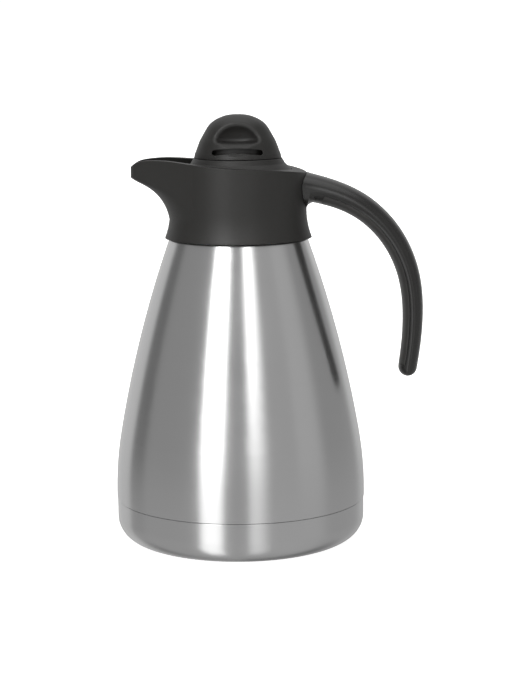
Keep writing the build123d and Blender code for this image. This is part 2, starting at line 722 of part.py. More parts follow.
def handle_block(inset=0.0):
    """The handle as one block, with a rounded tip."""
    tip_share = 1 - HANDLE_TIP_ROUNDING / handle_line().length
    steps = [index / HANDLE_SECTIONS for index in range(HANDLE_SECTIONS + 1)]
    shaft = loft([handle_oval(tip_share * step**HANDLE_CROWDING, inset) for step in steps])
    tip_ovals = []
    for angle in TIP_ANGLES:
        share = tip_share + (1 - tip_share) * sin(radians(angle))
        tip_ovals.append(handle_oval(share, inset, cos(radians(angle))))
    return shaft + loft(tip_ovals)


def handle_root():
    """Hollow rounding under the handle where it meets the collar."""
    line = handle_line()
    start, heading = line @ 0, line % 0
    full_drop = ROOT_ROUNDING * (1 - cos(radians(ROOT_ANGLES[0])))
    lean = (half_thickness(0) + full_drop) * heading.Z
    face = (COLLAR_RADIUS + HANDLE_SEAT_GAP - start.X - lean) / heading.X
    ovals = []
    for angle in ROOT_ANGLES:
        distance = ROOT_ROUNDING * (1 - sin(radians(angle)))
        drop = ROOT_ROUNDING * (1 - cos(radians(angle)))
        ovals.append(root_oval(face + distance, drop))
    return loft([root_oval(face - ROOT_ROUNDING, full_drop), ovals[0]]) + loft(ovals)


def inside_of_handle(offset, start, end, depth=2 * HANDLE_TIP_THICKNESS):
    """Region on the finger side of the handle, from an offset of the centre line inward."""
    line = handle_line()
    steps = [index / (INLAY_STATIONS - 1) for index in range(INLAY_STATIONS)]
    shares = [start + (end - start) * step for step in steps]

    def beside(distance):
        points = []
        for share in shares:
            place, heading = line @ share, line % share
            points.append((place.X + heading.Z * distance, place.Z - heading.X * distance))
        return points

    near_points, far_points = beside(offset), beside(offset + depth)
    face = make_face([
        Spline(*near_points),
        Line(near_points[-1], far_points[-1]),
        Spline(*reversed(far_points)),
        Line(far_points[0], near_points[0]),
    ])
    return extrude(Plane.XZ * face, BODY_RADIUS, both=True)


def inlay_rib(clearance=0.0):
    """Rib on the back of the inlay, or with a clearance the groove that it sits in."""
    margin = INLAY_RIB_HEIGHT / handle_line().length
    start, end = INLAY_START_SHARE + 2 * margin, INLAY_END_SHARE - 2 * margin
    offset = INLAY_OFFSET - INLAY_RIB_HEIGHT - clearance
    region = inside_of_handle(offset, start, end, 2 * INLAY_RIB_HEIGHT)
    return handle_block(INLAY_RIB_INSET - clearance) & region


def make_handle():
    """Main piece of the handle, butted to the collar, with its tenon and screw holes."""
    handle = handle_block() + handle_root()
    handle -= disc(COLLAR_RADIUS + HANDLE_SEAT_GAP, 0, SKY)
    handle -= inside_of_handle(INLAY_OFFSET, INLAY_START_SHARE, INLAY_END_SHARE)
    handle -= inlay_rib(INLAY_GAP)
    handle += handle_tenon()
    return handle - handle_screws(SCREW_CLEARANCE)


def make_handle_inlay():
    """Strip that fills the finger side of the handle, set in a little at both sides."""
    gap = INLAY_GAP / handle_line().length
    region = inside_of_handle(INLAY_OFFSET + INLAY_GAP, INLAY_START_SHARE + gap, INLAY_END_SHARE - gap)
    return (handle_block(INLAY_INSET) & region) + inlay_rib()


# ---------------------------------------------------------------- stopper body
SEAT_BOTTOM = INSERT_TOP + BODY_GAP
SEAT_TOP = SEAT_BOTTOM + PLUG_SEAT_THICKNESS
PLUG_INNER = PLUG_RADIUS - PLUG_WALL
BEARING_INNER = SPINDLE_RADIUS + SPINDLE_CLEARANCE
BEARING_OUTER = BEARING_INNER + BEARING_WALL
HUB_INNER = HUB_RADIUS - HUB_WALL
HUB_CAP_BOTTOM = HUB_TOP - HUB_CAP_THICKNESS
THREAD_BORE_RADIUS = THREAD_RIDGE_RADIUS + THREAD_GAP
STEM_RADIUS = THREAD_BORE_RADIUS + STEM_WALL


def make_stopper_housing():
    """Cup that plugs the neck: valve opening in its floor, pouring port in its side, keys."""
    housing = ring(PLUG_INNER, PLUG_RADIUS, PLUG_BOTTOM, FLANGE_LEVEL)
    housing += ring(VALVE_OPENING_RADIUS, PLUG_INNER, PLUG_BOTTOM, PLUG_BOTTOM + PLUG_FLOOR)
    housing += ring(PLUG_RADIUS, PLUG_SEAT_RADIUS, SEAT_BOTTOM, SEAT_TOP)
    housing += ring(PLUG_INNER - PLUG_WALL / 2, PLUG_INNER, GUIDE_LEVEL - PLUG_WALL, GUIDE_LEVEL)
    gasket_top = GASKET_LEVEL + GASKET_HEIGHT
    housing -= ring(GASKET_BASE_RADIUS, PLUG_RADIUS + OVERCUT, GASKET_LEVEL, gasket_top)
    port = block(
        (-PLUG_SEAT_RADIUS, -PLUG_INNER / 2),
        (-PORT_WIDTH / 2, PORT_WIDTH / 2),
        (SEAT_TOP + PORT_SILL, FLANGE_LEVEL - PLUG_WALL / 2),
    )
    for angle in around(KEY_COUNT):
        key = block(
            (PLUG_RADIUS - PLUG_WALL / 2, INSERT_INNER + KEY_DEPTH - BODY_GAP),
            (-KEY_WIDTH / 2 + BODY_GAP, KEY_WIDTH / 2 - BODY_GAP),
            (INSERT_TOP - KEY_LENGTH + BODY_GAP, SEAT_BOTTOM + PLUG_SEAT_THICKNESS / 2),
        )
        housing += Rot(0, 0, angle) * key
    return housing - port


def make_stopper_gasket():
    """Silicone ring with two lips in the groove of the housing."""
    lip = INSERT_INNER - BODY_GAP
    valley = (lip + GASKET_BASE_RADIUS) / 2
    quarter = GASKET_HEIGHT / 4
    return turned(
        (GASKET_BASE_RADIUS, GASKET_LEVEL),
        (valley, GASKET_LEVEL),
        (lip, GASKET_LEVEL + quarter),
        (valley, GASKET_LEVEL + 2 * quarter),
        (lip, GASKET_LEVEL + 3 * quarter),
        (valley, GASKET_LEVEL + GASKET_HEIGHT),
        (GASKET_BASE_RADIUS, GASKET_LEVEL + GASKET_HEIGHT),
    )


def make_stopper_cover():
    """Round cover in the collar's bowl, with the well for the foam and the spindle's bearing."""
    plate_top = FLANGE_LEVEL + COVER_PLATE
    cover = turned(
        (BEARING_INNER, FLANGE_LEVEL),
        (FLANGE_RADIUS, FLANGE_LEVEL, FLANGE_EDGE / 3),
        (FLANGE_RADIUS, FLANGE_LEVEL + FLANGE_EDGE, FLANGE_EDGE / 3),
        (COVER_TOP_RADIUS + COVER_BEAD / 3, FLANGE_LEVEL + COVER_BEAD),
        (COVER_TOP_RADIUS, COVER_TOP, FLANGE_EDGE / 3),
        (HUB_RADIUS, COVER_TOP),
        (HUB_RADIUS, HUB_CAP_BOTTOM),
        (HUB_INNER, HUB_CAP_BOTTOM),
        (HUB_INNER, plate_top),
        (BEARING_OUTER, plate_top),
        (BEARING_OUTER, HUB_CAP_BOTTOM),
        (BEARING_INNER, HUB_CAP_BOTTOM),
    )
    cover += ring(BEARING_INNER, BEARING_OUTER, BEARING_BOTTOM, FLANGE_LEVEL)
    spigot_outer = PLUG_INNER - WELD_CLEARANCE
    spigot_bottom = FLANGE_LEVEL - 2 * PORT_SILL
    return cover + ring(spigot_outer - PLUG_WALL, spigot_outer, spigot_bottom, FLANGE_LEVEL)


def make_foam_ring():
    """Insulating foam in the cover's well."""
    inner, outer = BEARING_OUTER + WELD_CLEARANCE, HUB_INNER - WELD_CLEARANCE
    return ring(inner, outer, FLANGE_LEVEL + COVER_PLATE, HUB_CAP_BOTTOM - WELD_CLEARANCE)


def make_hub_cap():
    """Disc welded over the foam."""
    return ring(BEARING_INNER, HUB_RADIUS, HUB_CAP_BOTTOM, HUB_TOP)


def make_valve_guide():
    """Disc in the housing that keeps the valve's stem from turning and lets the drink past."""
    top = GUIDE_LEVEL + GUIDE_THICKNESS
    slot_end = STEM_RADIUS + FIN_REACH + FIN_CLEARANCE
    guide = ring(STEM_RADIUS + FIN_CLEARANCE, PLUG_INNER - WELD_CLEARANCE, GUIDE_LEVEL, top)
    half_width = FIN_WIDTH / 2 + FIN_CLEARANCE
    cut_range = (GUIDE_LEVEL - OVERCUT, top + OVERCUT)
    guide -= block((-half_width, half_width), (-slot_end, slot_end), cut_range)
    hole_place = (slot_end + PLUG_INNER) / 2
    hole_radius = (PLUG_INNER - slot_end) / 2 - PLUG_WALL / 3
    for angle in around(GUIDE_HOLES):
        guide -= Rot(0, 0, angle) * Pos(hole_place, 0, 0) * disc(hole_radius, *cut_range)
    return guide


# ---------------------------------------------------------------- grip
CEILING = HUB_TOP + BODY_GAP + WASHER_THICKNESS  # of the knob's counterbore
CLIP_TOP = BEARING_BOTTOM - BODY_GAP
CLIP_BED_RADIUS = THREAD_CORE_RADIUS - THREAD_GAP
SQUARE_BOTTOM = HUB_TOP + BODY_GAP
ORING_RADIUS = SPINDLE_RADIUS + SPINDLE_CLEARANCE - ORING_SECTION_RADIUS


def knob_dome():
    """Solid dome of the twist grip."""
    points = [(radius, NECK_HEIGHT + rise) for radius, rise in KNOB_CURVE]
    curve = Spline((0, KNOB_TOP), *points, tangents=[(1, 0), (KNOB_FOOT_LEAN, -1)])
    foot_radius, foot = points[-1]
    rest = Polyline((foot_radius, foot), (0, foot), (0, KNOB_TOP))
    return revolve(Plane.XZ * make_face([curve, *rest.edges()]), Axis.Z)


def knob_scoop(side):
    """Arched hollow for a finger in one face of the knob, over a rounded ledge."""
    ball = scale(Sphere(1), by=(SCOOP_HALF_WIDTH, SCOOP_DEPTH, SCOOP_HALF_HEIGHT))
    ball = Pos(0, side * SCOOP_CENTRE[0], NECK_HEIGHT + SCOOP_CENTRE[1]) * ball
    ledge_height = NECK_HEIGHT + LEDGE_RISE - LEDGE_RADIUS
    ledge = rod_x(LEDGE_RADIUS, -BODY_RADIUS, BODY_RADIUS, side * LEDGE_DISTANCE, ledge_height)
    return (ball & disc(BODY_RADIUS, ledge_height, SKY)) - ledge


def scoop_edges(knob):
    """Edges of the two scoops in the knob."""
    bottom = NECK_HEIGHT + LEDGE_RISE - LEDGE_RADIUS / 2
    middles = {edge: edge @ 0.5 for edge in knob.edges()}
    return [
        edge for edge, place in middles.items() if place.Z > bottom and abs(place.Y) > LEDGE_DISTANCE / 2
    ]


def knob_groove(side):
    """Arched groove under the scoop."""
    left = (-GROOVE_HALF_WIDTH, NECK_HEIGHT + GROOVE_ENDS_RISE)
    right = (GROOVE_HALF_WIDTH, NECK_HEIGHT + GROOVE_ENDS_RISE)
    middle = ThreePointArc(left, (0, NECK_HEIGHT + GROOVE_CROWN_RISE), right)
    slot = extrude(Plane.XZ * SlotArc(middle, GROOVE_HEIGHT), COVER_TOP_RADIUS * 2)
    groove = slot - disc(GROOVE_FLOOR, 0, SKY)
    return groove if side < 0 else Rot(0, 0, 180) * groove


def grip_screw(clearance=0.0):
    """Screw up through the spindle into the knob, or with a clearance its hole."""
    head_top = SPINDLE_FOOT
    head_bottom = head_top - GRIP_SCREW_HEAD_HEIGHT
    screw = disc(GRIP_SCREW_RADIUS + clearance, head_top, GRIP_SCREW_TOP + clearance)
    return screw + disc(GRIP_SCREW_HEAD_RADIUS + clearance, head_bottom, head_top)


def make_knob():
    """Domed twist grip with two finger hollows, turning on the cover's hub."""
    knob = knob_dome()
    knob -= disc(HUB_RADIUS + 2 * SPINDLE_CLEARANCE + KNOB_GAP, 0, CEILING)
    knob -= knob_scoop(-1) + knob_scoop(1)
    knob = fillet(scoop_edges(knob), SCOOP_ROUNDING)
    for side in (-1, 1):
        knob -= knob_groove(side)
        pocket = disc(CORE_POCKET_RADIUS, CEILING - OVERCUT, CEILING + CORE_POCKET_DEPTH)
        knob -= Pos(side * CORE_POCKET_PLACE, 0, 0) * pocket
    half = SPINDLE_SQUARE / 2 + SPINDLE_CLEARANCE
    socket_top = SPINDLE_SQUARE_TOP + SPINDLE_CLEARANCE
    knob -= block((-half, half), (-half, half), (CEILING - OVERCUT, socket_top))
    return knob - grip_screw(SCREW_CLEARANCE)


def thread_ridge(inner, outer, bottom):
    """Helical ridge of a screw thread between two radii."""
    middle = (inner + outer) / 2
    path = Helix(THREAD_PITCH, THREAD_PITCH * THREAD_TURNS, middle, center=(0, 0, bottom))
    place = Plane(origin=path @ 0, x_dir=(1, 0, 0), z_dir=path % 0)
    return sweep(place * Rectangle(outer - inner, THREAD_RIDGE), path=path, is_frenet=True)


def make_spindle():
    """Spindle of the grip: male thread below, journal in the bearing, square head above."""
    spindle = disc(THREAD_CORE_RADIUS, SPINDLE_FOOT, BEARING_BOTTOM)
    spindle += disc(SPINDLE_RADIUS, BEARING_BOTTOM - CLIP_THICKNESS * 3, SQUARE_BOTTOM)
    half = SPINDLE_SQUARE / 2
    spindle += block((-half, half), (-half, half), (SQUARE_BOTTOM, SPINDLE_SQUARE_TOP))
    spindle += thread_ridge(THREAD_CORE_RADIUS - THREAD_GAP, THREAD_RIDGE_RADIUS, THREAD_START)
    spindle -= ring(CLIP_BED_RADIUS, CLIP_RADIUS, CLIP_TOP - CLIP_THICKNESS, CLIP_TOP)
    spindle -= Pos(0, 0, ORING_LEVEL) * Torus(ORING_RADIUS, ORING_SECTION_RADIUS)
    bore = GRIP_SCREW_RADIUS + SCREW_CLEARANCE
    return spindle - disc(bore, SPINDLE_FOOT - OVERCUT, SPINDLE_SQUARE_TOP + OVERCUT)


def make_spindle_oring():
    """Ring that seals the spindle in its bearing."""
    return Pos(0, 0, ORING_LEVEL) * Torus(ORING_RADIUS, ORING_SECTION_RADIUS - SCREW_CLEARANCE)


def make_retaining_clip():
    """Open spring clip under the bearing, in the spindle's groove."""
    inner = CLIP_BED_RADIUS + SCREW_CLEARANCE
    bottom, top = CLIP_TOP - CLIP_THICKNESS + SCREW_CLEARANCE, CLIP_TOP - SCREW_CLEARANCE
    mouth = inner * CLIP_MOUTH
    opening = block((0, 2 * CLIP_RADIUS), (-mouth, mouth), (bottom - OVERCUT, top + OVERCUT))
    return ring(inner, CLIP_RADIUS, bottom, top) - opening


def make_thrust_washer():
    """Slippery washer between knob and hub cap."""
    return ring(BEARING_INNER, WASHER_RADIUS, CEILING - WASHER_THICKNESS, CEILING)


# ---------------------------------------------------------------- valve
SEAL_TOP = PLUG_BOTTOM - BODY_GAP
DISC_TOP = SEAL_TOP - SEAL_THICKNESS
BORE_BOTTOM = SPINDLE_FOOT - GRIP_SCREW_HEAD_HEIGHT - 2 * BODY_GAP


def make_valve_stem():
    """Valve disc with its hollow stem, female thread and the fins that keep it from turning."""
    stem = disc(DISC_RADIUS, DISC_TOP - DISC_THICKNESS, DISC_TOP)
    stem += disc(STEM_RADIUS, DISC_TOP, STEM_TOP)
    reach = STEM_RADIUS + FIN_REACH
    fins = block((-FIN_WIDTH / 2, FIN_WIDTH / 2), (-reach, reach), (STEM_TOP - FIN_LENGTH, STEM_TOP))
    stem += fins
    stem -= disc(THREAD_BORE_RADIUS, BORE_BOTTOM, STEM_TOP + OVERCUT)
    ridge_inner, ridge_outer = THREAD_CORE_RADIUS + THREAD_GAP, THREAD_BORE_RADIUS + THREAD_GAP
    return stem + Rot(0, 0, 180) * thread_ridge(ridge_inner, ridge_outer, THREAD_START)


def make_valve_seal():
    """Silicone ring on the valve disc that closes the opening in the housing's floor."""
    return turned(
        (STEM_RADIUS + BODY_GAP * 2, DISC_TOP),
        (DISC_RADIUS - BODY_GAP, DISC_TOP),
        (DISC_RADIUS - BODY_GAP, SEAL_TOP, BODY_GAP),
        (SEAL_INNER_RADIUS + BODY_GAP, SEAL_TOP),
        (SEAL_INNER_RADIUS + BODY_GAP, DISC_TOP + SEAL_THICKNESS / 2),
        (STEM_RADIUS + BODY_GAP * 2, DISC_TOP + SEAL_THICKNESS / 2),
    )


def make_seal_retainer():
    """Snap ring that holds the seal on the disc."""
    bottom = DISC_TOP + SEAL_THICKNESS / 2
    return ring(STEM_RADIUS + WELD_CLEARANCE, SEAL_INNER_RADIUS, bottom, SEAL_TOP)


PIECES = {
    "outer_shell": make_outer_shell,
    "base_cup": make_base_cup,
    "vacuum_bottom": make_vacuum_bottom,
    "seal_bead": make_seal_bead,
    "getter_cup": make_getter_cup,
    "getter_pellet": make_getter_pellet,
    "inner_liner": make_inner_liner,
    "liner_bottom": make_liner_bottom,
    "liner_neck": make_liner_neck,
    "collar": make_collar,
    "shoulder_seal": make_shoulder_seal,
    "neck_gasket": make_neck_gasket,
    "neck_insert": make_neck_insert,
    "handle": make_handle,
    "handle_inlay": make_handle_inlay,
    "handle_screws": handle_screws,
    "stopper_housing": make_stopper_housing,
    "stopper_gasket": make_stopper_gasket,
    "stopper_cover": make_stopper_cover,
    "foam_ring": make_foam_ring,
    "hub_cap": make_hub_cap,
    "valve_guide": make_valve_guide,
    "knob": make_knob,
    "spindle": make_spindle,
    "spindle_oring": make_spindle_oring,
    "retaining_clip": make_retaining_clip,
    "thrust_washer": make_thrust_washer,
    "grip_screw": grip_screw,
    "valve_stem": make_valve_stem,
    "valve_seal": make_valve_seal,
    "seal_retainer": make_seal_retainer,
}

os.makedirs("parts", exist_ok=True)
for name, make in PIECES.items():
    export_step(make(), f"parts/{name}.step")
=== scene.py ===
"""The carafe dressed for rendering.

Procedural finishes, floor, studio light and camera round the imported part.
"""

import json
import math

import bmesh
import bpy
from mathutils import Matrix

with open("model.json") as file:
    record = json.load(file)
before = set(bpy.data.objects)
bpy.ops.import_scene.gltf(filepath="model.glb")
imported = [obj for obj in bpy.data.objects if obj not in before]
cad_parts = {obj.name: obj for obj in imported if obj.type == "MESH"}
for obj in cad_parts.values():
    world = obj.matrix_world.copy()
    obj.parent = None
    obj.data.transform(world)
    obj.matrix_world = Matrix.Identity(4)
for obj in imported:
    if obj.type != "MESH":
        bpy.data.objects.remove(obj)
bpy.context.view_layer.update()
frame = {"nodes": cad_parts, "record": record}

MM = 0.001

# ---------------------------------------------------------------- camera
CAMERA_PLACE = (0.01245, -1.0049, 0.2729)
CAMERA_TILT = math.radians(80.375)
CAMERA_ROLL = math.radians(-0.40)
CAMERA_LENS = 96.79
CAMERA_SENSOR = 36.0
CAMERA_NEAR = 0.05

# ---------------------------------------------------------------- studio
WHITE = (1.0, 1.0, 1.0, 1.0)
FLOOR_RADIUS = 14.0
FLOOR_SEGMENTS = 128
FLOOR_GLOW = 0.82
FLOOR_COLOUR = (0.80, 0.80, 0.79, 1.0)
FLOOR_DRIFT = (0.82, 0.82, 0.81, 1.0)
BACKDROP_SEGMENTS = 96
BACKDROP_GLOW = 1.05
ROOM_LEVEL_HIGH = 0.345
ROOM_LEVEL_LOW = 0.43
TOP_PANEL_LEVEL = 0.9
STEEP_PULL = 0.38  # keeps the panels' edges upright where the light comes up steeply from the floor
STEEP_START = 0.3
CONTACT_SHADOW_LEVEL = -0.28  # painted shadow: a darker strip low in the world behind the object, standing in for its contact shadow on the floor
CONTACT_SHADOW_DEPTH = (0.2, 0.45)  # how far to the back the painted shadow begins and is full

# Where a level starts and ends its change, in degrees above the horizon.
SOFTBOX_RISE = (-20.0, 40.0)
WALL_RISE = (-18.0, 2.0)
PANEL_FOOT = (-85.0, -58.0)
PANEL_HEAD = (42.0, 58.0)
# the painted contact shadow is full below the first height and gone above the second
CONTACT_SHADOW_RISE = (-55.0, -32.0)
TOP_PANEL_RISE = (48.0, 62.0)

# Each panel: azimuth of its two edges and their softness, then its level high up and near the floor.
# Azimuths are in degrees round the object, from the camera's side, positive towards the handle.
SOFTBOXES = {
    "key": (-36.5, -16.0, 2.5, 2.5, 8.50, 1.15),
    "fill": (8.4, 22.6, 2.0, 8.0, 3.45, 0.55),
}
WALLS = {
    "front_wall": (30.0, 56.0, 8.0, 4.0, 0.11, 0.06),
    "handle_side_wall": (56.0, 84.0, 4.0, 8.0, 0.18, 0.05),
    "spout_side_flag": (-122.0, -100.0, 3.0, 5.0, -0.16, -0.02),
    "backdrop_left": (-181.0, -123.0, 1.0, 4.0, 0.32, 0.18),
    "backdrop_right": (140.0, 181.0, 8.0, 1.0, 0.32, 0.06),
}

# ---------------------------------------------------------------- finishes
BEVEL_SAMPLES = 4
EDGE_TURN = (0.01, 0.16)  # how far a rounded edge turns from its face where wear starts and is full
NOISE_SPAN = (0.3, 0.7)  # the part of a noise's range that holds nearly all of it


class Tree:
    """Adds nodes to a node tree. Each call gives back the output that the next node takes in."""

    def __init__(self, owner):
        owner.use_nodes = True
        self.nodes = owner.node_tree.nodes
        self.links = owner.node_tree.links
        self.nodes.clear()

    def add(self, kind, values, **settings):
        node = self.nodes.new(kind)
        for name, value in settings.items():
            setattr(node, name, value)
        for name, value in values.items():
            if isinstance(value, bpy.types.NodeSocket):
                self.links.new(value, node.inputs[name])
            else:
                node.inputs[name].default_value = value
        return node

    def place(self):
        return self.add("ShaderNodeTexCoord", {}).outputs["Object"]

    def calc(self, operation, a, b=0.0):
        return self.add("ShaderNodeMath", {0: a, 1: b}, operation=operation).outputs[0]

    def vector(self, operation, a, b=(0.0, 0.0, 0.0)):
        return self.add("ShaderNodeVectorMath", {0: a, 1: b}, operation=operation)

    def stretch(self, place, factors):
        return self.vector("MULTIPLY", place, factors).outputs[0]

    def spread(self, value, low, high, to_low=0.0, to_high=1.0, smooth=True):
        values = {"Value": value, "From Min": low, "From Max": high, "To Min": to_low, "To Max": to_high}
        shape = "SMOOTHSTEP" if smooth else "LINEAR"
        return self.add("ShaderNodeMapRange", values, interpolation_type=shape).outputs["Result"]

    def vary(self, noise, low, high):
        return self.spread(noise, *NOISE_SPAN, low, high)

    def noise(self, place, scale, detail=2.0, roughness=0.5):
        values = {"Vector": place, "Scale": scale, "Detail": detail, "Roughness": roughness}
        return self.add("ShaderNodeTexNoise", values).outputs[0]

    def cells(self, place, scale):
        return self.add("ShaderNodeTexVoronoi", {"Vector": place, "Scale": scale}).outputs["Distance"]

    def tint(self, factor, first, second):
        node = self.add("ShaderNodeMix", {0: factor, 6: first, 7: second}, data_type="RGBA")
        return node.outputs[2]

    def rounded(self, radius):
        return self.add("ShaderNodeBevel", {"Radius": radius}, samples=BEVEL_SAMPLES).outputs["Normal"]

    def edges(self, rounded):
        facing = self.add("ShaderNodeNewGeometry", {}).outputs["Normal"]
        match = self.vector("DOT_PRODUCT", rounded, facing).outputs["Value"]
        return self.spread(self.calc("SUBTRACT", 1.0, match), *EDGE_TURN)

    def bump(self, height, strength, depth, normal):
        values = {"Height": height, "Strength": strength, "Distance": depth, "Normal": normal}
        return self.add("ShaderNodeBump", values).outputs["Normal"]

    def finish(self, colour, roughness, normal, **values):
        sockets = {"Base Color": colour, "Roughness": roughness, "Normal": normal}
        sockets.update({name.replace("_", " "): value for name, value in values.items()})
        shader = self.add("ShaderNodeBsdfPrincipled", sockets)
        self.add("ShaderNodeOutputMaterial", {"Surface": shader.outputs[0]})


def shade(colour, factor):
    return (*[channel * factor for channel in colour], 1.0)


def brushed_steel(name, colour, roughness, brush):
    """Steel brushed on a lathe: fine rings round the upright axis over a faint handling bloom."""
    look = bpy.data.materials.new(name)
    t = Tree(look)
    place = t.place()
    rounded = t.rounded(0.4 * MM)
    worn = t.edges(rounded)
    rings = t.noise(t.stretch(place, (14.0, 14.0, 6500.0)), 1.0, 4.0, 0.6)
    long_rings = t.noise(t.stretch(place, (6.0, 6.0, 1700.0)), 1.0, 3.0)
    bloom = t.noise(place, 26.0, 3.0, 0.55)
    tone = t.calc("ADD", t.calc("MULTIPLY", rings, 0.6), t.calc("MULTIPLY", long_rings, 0.4))
    base = t.tint(tone, shade(colour, 0.97), shade(colour, 1.03))
    base = t.tint(t.calc("MULTIPLY", worn, 0.5), base, shade(colour, 1.18))
    rough = t.vary(rings, roughness - 0.012, roughness + 0.012)
    rough = t.calc("ADD", rough, t.spread(bloom, 0.35, 0.7, -0.01, 0.02))
    rough = t.calc("SUBTRACT", rough, t.calc("MULTIPLY", worn, 0.06))
    normal = t.bump(rings, 1.0, brush, rounded)
    tangent = t.add("ShaderNodeTangent", {}, direction_type="RADIAL", axis="Z").outputs[0]
    brushed = {"Anisotropic": 0.7, "Anisotropic_Rotation": 0.25, "Tangent": tangent}
    t.finish(base, rough, normal, Metallic=1.0, **brushed)
    return look


def plain_metal(name, colour, roughness, grain, depth):
    """Drawn, rolled or turned metal with a fine even grain and brighter edges."""
    look = bpy.data.materials.new(name)
    t = Tree(look)
    place = t.place()
    rounded = t.rounded(0.3 * MM)
    worn = t.edges(rounded)
    fine = t.noise(place, grain, 4.0, 0.6)
    broad = t.noise(place, 45.0, 2.0)
    base = t.tint(broad, shade(colour, 0.9), shade(colour, 1.08))
    base = t.tint(t.calc("MULTIPLY", worn, 0.5), base, shade(colour, 1.25))
    rough = t.vary(fine, roughness - 0.04, roughness + 0.05)
    normal = t.bump(fine, 0.7, depth, rounded)
    t.finish(base, rough, normal, Metallic=1.0)
    return look


def moulded_plastic(name, colour, roughness, grain, depth, edge_tone, shine=0.5, grain_share=1.0):
    """Moulded plastic: a fine sparked grain, slow tone drift, and edges rubbed smoother and lighter.

    A grain_share below 1 leaves the polish of the mould in place of the grain.
    """
    look = bpy.data.materials.new(name)
    t = Tree(look)
    place = t.place()
    rounded = t.rounded(0.5 * MM)
    worn = t.edges(rounded)
    fine = t.noise(place, grain, 3.0, 0.65)
    pits = t.cells(place, grain * 0.6)
    broad = t.noise(place, 32.0, 3.0, 0.55)
    base = t.tint(broad, shade(colour, 0.88), shade(colour, 1.14))
    base = t.tint(t.calc("MULTIPLY", fine, 0.35 * grain_share), base, shade(colour, 1.35))
    base = t.tint(t.calc("MULTIPLY", worn, 0.55), base, shade(colour, edge_tone))
    rough = t.vary(fine, roughness - 0.04 * grain_share, roughness + 0.05 * grain_share)
    rough = t.calc("ADD", rough, t.vary(broad, -0.02, 0.03))
    rough = t.calc("SUBTRACT", rough, t.calc("MULTIPLY", worn, 0.08))
    height = t.calc("ADD", fine, t.calc("MULTIPLY", pits, 0.4))
    normal = t.bump(height, 0.6, depth, rounded)
    t.finish(base, rough, normal, Specular_IOR_Level=shine)
    return look


def silicone_rubber(name, colour):
    """Translucent moulded silicone with a faint dusty bloom."""
    look = bpy.data.materials.new(name)
    t = Tree(look)
    place = t.place()
    rounded = t.rounded(0.3 * MM)
    dust = t.noise(place, 900.0, 4.0, 0.7)
    broad = t.noise(place, 60.0, 2.0)
    base = t.tint(broad, shade(colour, 0.92), shade(colour, 1.08))
    base = t.tint(t.spread(dust, 0.55, 0.8, 0.0, 0.3), base, shade(colour, 1.3))
    rough = t.vary(dust, 0.42, 0.56)
    normal = t.bump(dust, 0.5, 0.03 * MM, rounded)
    t.finish(base, rough, normal, Subsurface_Weight=0.15, Subsurface_Scale=0.002)
    return look


def cell_foam(name, colour):
    """Closed-cell foam: small round cells, some of them cut open, with painted shade in the cell
    hollows.
    """
    look = bpy.data.materials.new(name)
    t = Tree(look)
    place = t.place()
    rounded = t.rounded(0.5 * MM)
    bubbles = t.cells(place, 1100.0)
    broad = t.noise(place, 70.0, 3.0)
    # painted shade: the colour darkens towards each cell's centre, the bottom of its hollow
    base = t.tint(t.spread(bubbles, 0.1, 0.6), shade(colour, 0.72), shade(colour, 1.05))
    base = t.tint(t.calc("MULTIPLY", broad, 0.3), base, shade(colour, 0.85))
    rough = t.spread(bubbles, 0.0, 0.6, 0.95, 0.8)
    normal = t.bump(bubbles, 0.8, 0.25 * MM, rounded)
    t.finish(base, rough, normal)
    return look


def bead_of_glass(name, colour):
    """The melted glass bead that closes the vacuum port, with a faint swirl in it."""
    look = bpy.data.materials.new(name)
    t = Tree(look)
    place = t.place()
    rounded = t.rounded(0.2 * MM)
    swirl = t.noise(place, 500.0, 3.0, 0.6)
    base = t.tint(swirl, shade(colour, 0.8), shade(colour, 1.2))
    rough = t.vary(swirl, 0.05, 0.16)
    normal = t.bump(swirl, 0.5, 0.05 * MM, rounded)
    t.finish(base, rough, normal, Transmission_Weight=0.6)
    return look


BLACK = (0.0110, 0.0105, 0.0095)
GLOSS_BLACK = (0.0085, 0.0082, 0.0076)
SOFT_BLACK = (0.0180, 0.0173, 0.0160)

FINISHES = {
    "satin_steel": (brushed_steel, (0.62, 0.62, 0.62), 0.24, 0.002 * MM),
    "liner_steel": (brushed_steel, (0.66, 0.66, 0.66), 0.20, 0.001 * MM),
    "plain_steel": (plain_metal, (0.55, 0.55, 0.56), 0.36, 1400.0, 0.02 * MM),
    "screw_steel": (plain_metal, (0.60, 0.60, 0.60), 0.22, 2600.0, 0.008 * MM),
    "getter_metal": (plain_metal, (0.25, 0.25, 0.26), 0.62, 1800.0, 0.08 * MM),
    "bead_glass": (bead_of_glass, (0.50, 0.60, 0.55)),
    "black_plastic": (moulded_plastic, BLACK, 0.46, 2100.0, 0.012 * MM, 2.1, 0.45),
    "handle_plastic": (moulded_plastic, GLOSS_BLACK, 0.22, 2400.0, 0.0004 * MM, 1.8, 0.55, 0.2),
    "soft_black_plastic": (moulded_plastic, SOFT_BLACK, 0.40, 1700.0, 0.010 * MM, 1.7, 0.7),
    "grey_plastic": (moulded_plastic, (0.32, 0.32, 0.32), 0.44, 1900.0, 0.03 * MM, 1.3),
    "white_plastic": (moulded_plastic, (0.80, 0.80, 0.78), 0.38, 1900.0, 0.02 * MM, 1.1),
    "silicone": (silicone_rubber, (0.55, 0.55, 0.53)),
    "foam": (cell_foam, (0.85, 0.83, 0.76)),
}
LOOKS = {name: maker(name, *values) for name, (maker, *values) in FINISHES.items()}

for row in frame["record"]["subparts"]:
    for slot in frame["nodes"][row["node"]].material_slots:
        slot.material = LOOKS[row["material_slot"]]


